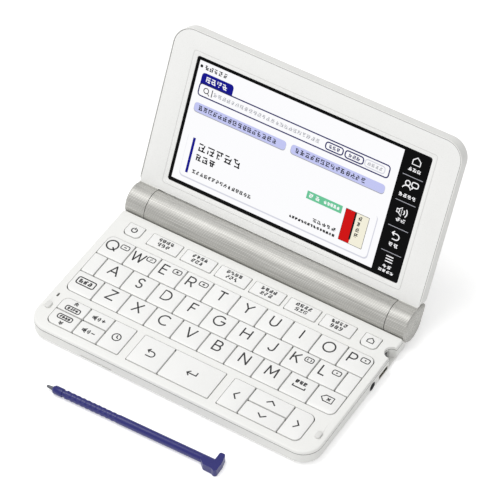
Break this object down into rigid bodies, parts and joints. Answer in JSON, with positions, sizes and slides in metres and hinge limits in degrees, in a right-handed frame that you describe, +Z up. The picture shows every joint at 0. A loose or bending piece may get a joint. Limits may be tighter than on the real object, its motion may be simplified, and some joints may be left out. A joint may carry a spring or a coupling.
{
  "type": "electronic dictionary",
  "caption": "Clamshell electronic dictionary: compact keyboard base, barrel battery hinge, wide touch display in a slim lid, and a loose stylus.",
  "frame": {"origin": "on the table under the middle of the closed case, the feet's plane at z = 0", "axes": "+X to the user's right, +Y to the rear where the lid hinges, +Z up"},
  "size_m": [0.148, 0.1575, 0.0881],
  "materials": {
    "case_white": "satin warm white",
    "key_white": "satin white",
    "barrel_silver": "satin silver paint",
    "bezel_white": "semi-gloss white",
    "panel_glass": "clear over a dark display",
    "display": "display module",
    "stylus_blue": "dark blue",
    "tip_grey": "grey nib",
    "rubber_grey": "matt",
    "bumper_rubber": "matt pale",
    "silicone": "silicone sheet",
    "board": "circuit board",
    "steel": "bright",
    "plated": "plated shell",
    "jack_grey": "moulded grey",
    "cell_wrap": "plain wrapped cell",
    "speaker_black": "speaker box"
  },
  "bodies": {
    "base": {"lower_case": "case_white", "upper_case": "case_white", "blank_keys": "key_white", "key_mat": "silicone", "main_board": "board", "stylus_silo": "steel", "usb_port": "plated", "headphone_jack": "jack_grey", "speaker": "speaker_black", "rubber_feet": "rubber_grey", "lid_bumpers": "bumper_rubber", "case_screws": "steel", "battery_barrel": "barrel_silver", "batteries": "cell_wrap", "battery_contacts": "steel", "hinge_pins": "steel"},
    "lid": {"lid_cover": "case_white", "lid_bezel": "bezel_white", "touch_panel": "panel_glass", "display_panel": "display", "hinge_caps": "barrel_silver"},
    "battery_cover": {"battery_cover": "barrel_silver"},
    "stylus": {"stylus_shaft": "stylus_blue", "stylus_tip": "tip_grey"},
    "key_q": {"key_q": "key_white"},
    "key_w": {"key_w": "key_white"},
    "key_e": {"key_e": "key_white"},
    "key_r": {"key_r": "key_white"},
    "key_t": {"key_t": "key_white"},
    "key_y": {"key_y": "key_white"},
    "key_u": {"key_u": "key_white"},
    "key_i": {"key_i": "key_white"},
    "key_o": {"key_o": "key_white"},
    "key_p": {"key_p": "key_white"},
    "key_a": {"key_a": "key_white"},
    "key_s": {"key_s": "key_white"},
    "key_d": {"key_d": "key_white"},
    "key_f": {"key_f": "key_white"},
    "key_g": {"key_g": "key_white"},
    "key_h": {"key_h": "key_white"},
    "key_j": {"key_j": "key_white"},
    "key_k": {"key_k": "key_white"},
    "key_l": {"key_l": "key_white"},
    "key_z": {"key_z": "key_white"},
    "key_x": {"key_x": "key_white"},
    "key_c": {"key_c": "key_white"},
    "key_v": {"key_v": "key_white"},
    "key_b": {"key_b": "key_white"},
    "key_n": {"key_n": "key_white"},
    "key_m": {"key_m": "key_white"},
    "key_shift": {"key_shift": "key_white"},
    "key_space": {"key_space": "key_white"},
    "key_delete": {"key_delete": "key_white"},
    "power_key": {"power_key": "key_white"},
    "home_key": {"home_key": "key_white"},
    "back_key": {"back_key": "key_white"},
    "enter_key": {"enter_key": "key_white"},
    "dictionary_keys": {"dictionary_keys": "key_white"},
    "side_keys": {"side_keys": "key_white"},
    "arrow_keys": {"arrow_keys": "key_white"}
  },
  "joints": [
    {"name": "lid_hinge", "type": "hinge", "parent": "base", "child": "lid", "pos_m": [0, 0.0397, 0.00895], "axis": [1, 0, 0], "range_deg": [-39, 116]},
    {"name": "battery_cover_slide", "type": "slide", "parent": "base", "child": "battery_cover", "axis": [0, 1, 0], "range_m": [0, 0.02]},
    {"name": "stylus_lift", "type": "slide", "parent": "base", "child": "stylus", "axis": [0, 0, 1], "range_m": [0, 0.06]},
    {"name": "key_q_press", "type": "slide", "parent": "base", "child": "key_q", "axis": [0, 0, -1], "range_m": [0, 0.0005], "stiffness_N_per_m": 200},
    {"name": "key_w_press", "type": "slide", "parent": "base", "child": "key_w", "axis": [0, 0, -1], "range_m": [0, 0.0005], "stiffness_N_per_m": 200},
    {"name": "key_e_press", "type": "slide", "parent": "base", "child": "key_e", "axis": [0, 0, -1], "range_m": [0, 0.0005], "stiffness_N_per_m": 200},
    {"name": "key_r_press", "type": "slide", "parent": "base", "child": "key_r", "axis": [0, 0, -1], "range_m": [0, 0.0005], "stiffness_N_per_m": 200},
    {"name": "key_t_press", "type": "slide", "parent": "base", "child": "key_t", "axis": [0, 0, -1], "range_m": [0, 0.0005], "stiffness_N_per_m": 200},
    {"name": "key_y_press", "type": "slide", "parent": "base", "child": "key_y", "axis": [0, 0, -1], "range_m": [0, 0.0005], "stiffness_N_per_m": 200},
    {"name": "key_u_press", "type": "slide", "parent": "base", "child": "key_u", "axis": [0, 0, -1], "range_m": [0, 0.0005], "stiffness_N_per_m": 200},
    {"name": "key_i_press", "type": "slide", "parent": "base", "child": "key_i", "axis": [0, 0, -1], "range_m": [0, 0.0005], "stiffness_N_per_m": 200},
    {"name": "key_o_press", "type": "slide", "parent": "base", "child": "key_o", "axis": [0, 0, -1], "range_m": [0, 0.0005], "stiffness_N_per_m": 200},
    {"name": "key_p_press", "type": "slide", "parent": "base", "child": "key_p", "axis": [0, 0, -1], "range_m": [0, 0.0005], "stiffness_N_per_m": 200},
    {"name": "key_a_press", "type": "slide", "parent": "base", "child": "key_a", "axis": [0, 0, -1], "range_m": [0, 0.0005], "stiffness_N_per_m": 200},
    {"name": "key_s_press", "type": "slide", "parent": "base", "child": "key_s", "axis": [0, 0, -1], "range_m": [0, 0.0005], "stiffness_N_per_m": 200},
    {"name": "key_d_press", "type": "slide", "parent": "base", "child": "key_d", "axis": [0, 0, -1], "range_m": [0, 0.0005], "stiffness_N_per_m": 200},
    {"name": "key_f_press", "type": "slide", "parent": "base", "child": "key_f", "axis": [0, 0, -1], "range_m": [0, 0.0005], "stiffness_N_per_m": 200},
    {"name": "key_g_press", "type": "slide", "parent": "base", "child": "key_g", "axis": [0, 0, -1], "range_m": [0, 0.0005], "stiffness_N_per_m": 200},
    {"name": "key_h_press", "type": "slide", "parent": "base", "child": "key_h", "axis": [0, 0, -1], "range_m": [0, 0.0005], "stiffness_N_per_m": 200},
    {"name": "key_j_press", "type": "slide", "parent": "base", "child": "key_j", "axis": [0, 0, -1], "range_m": [0, 0.0005], "stiffness_N_per_m": 200},
    {"name": "key_k_press", "type": "slide", "parent": "base", "child": "key_k", "axis": [0, 0, -1], "range_m": [0, 0.0005], "stiffness_N_per_m": 200},
    {"name": "key_l_press", "type": "slide", "parent": "base", "child": "key_l", "axis": [0, 0, -1], "range_m": [0, 0.0005], "stiffness_N_per_m": 200},
    {"name": "key_z_press", "type": "slide", "parent": "base", "child": "key_z", "axis": [0, 0, -1], "range_m": [0, 0.0005], "stiffness_N_per_m": 200},
    {"name": "key_x_press", "type": "slide", "parent": "base", "child": "key_x", "axis": [0, 0, -1], "range_m": [0, 0.0005], "stiffness_N_per_m": 200},
    {"name": "key_c_press", "type": "slide", "parent": "base", "child": "key_c", "axis": [0, 0, -1], "range_m": [0, 0.0005], "stiffness_N_per_m": 200},
    {"name": "key_v_press", "type": "slide", "parent": "base", "child": "key_v", "axis": [0, 0, -1], "range_m": [0, 0.0005], "stiffness_N_per_m": 200},
    {"name": "key_b_press", "type": "slide", "parent": "base", "child": "key_b", "axis": [0, 0, -1], "range_m": [0, 0.0005], "stiffness_N_per_m": 200},
    {"name": "key_n_press", "type": "slide", "parent": "base", "child": "key_n", "axis": [0, 0, -1], "range_m": [0, 0.0005], "stiffness_N_per_m": 200},
    {"name": "key_m_press", "type": "slide", "parent": "base", "child": "key_m", "axis": [0, 0, -1], "range_m": [0, 0.0005], "stiffness_N_per_m": 200},
    {"name": "key_shift_press", "type": "slide", "parent": "base", "child": "key_shift", "axis": [0, 0, -1], "range_m": [0, 0.0005], "stiffness_N_per_m": 200},
    {"name": "key_space_press", "type": "slide", "parent": "base", "child": "key_space", "axis": [0, 0, -1], "range_m": [0, 0.0005], "stiffness_N_per_m": 200},
    {"name": "key_delete_press", "type": "slide", "parent": "base", "child": "key_delete", "axis": [0, 0, -1], "range_m": [0, 0.0005], "stiffness_N_per_m": 200},
    {"name": "power_key_press", "type": "slide", "parent": "base", "child": "power_key", "axis": [0, 0, -1], "range_m": [0, 0.0005], "stiffness_N_per_m": 200},
    {"name": "home_key_press", "type": "slide", "parent": "base", "child": "home_key", "axis": [0, 0, -1], "range_m": [0, 0.0005], "stiffness_N_per_m": 200},
    {"name": "back_key_press", "type": "slide", "parent": "base", "child": "back_key", "axis": [0, 0, -1], "range_m": [0, 0.0005], "stiffness_N_per_m": 200},
    {"name": "enter_key_press", "type": "slide", "parent": "base", "child": "enter_key", "axis": [0, 0, -1], "range_m": [0, 0.0005], "stiffness_N_per_m": 200},
    {"name": "dictionary_keys_press", "type": "slide", "parent": "base", "child": "dictionary_keys", "axis": [0, 0, -1], "range_m": [0, 0.0005], "stiffness_N_per_m": 1200},
    {"name": "side_keys_press", "type": "slide", "parent": "base", "child": "side_keys", "axis": [0, 0, -1], "range_m": [0, 0.0005], "stiffness_N_per_m": 1000},
    {"name": "arrow_keys_press", "type": "slide", "parent": "base", "child": "arrow_keys", "axis": [0, 0, -1], "range_m": [0, 0.0005], "stiffness_N_per_m": 800}
  ]
}
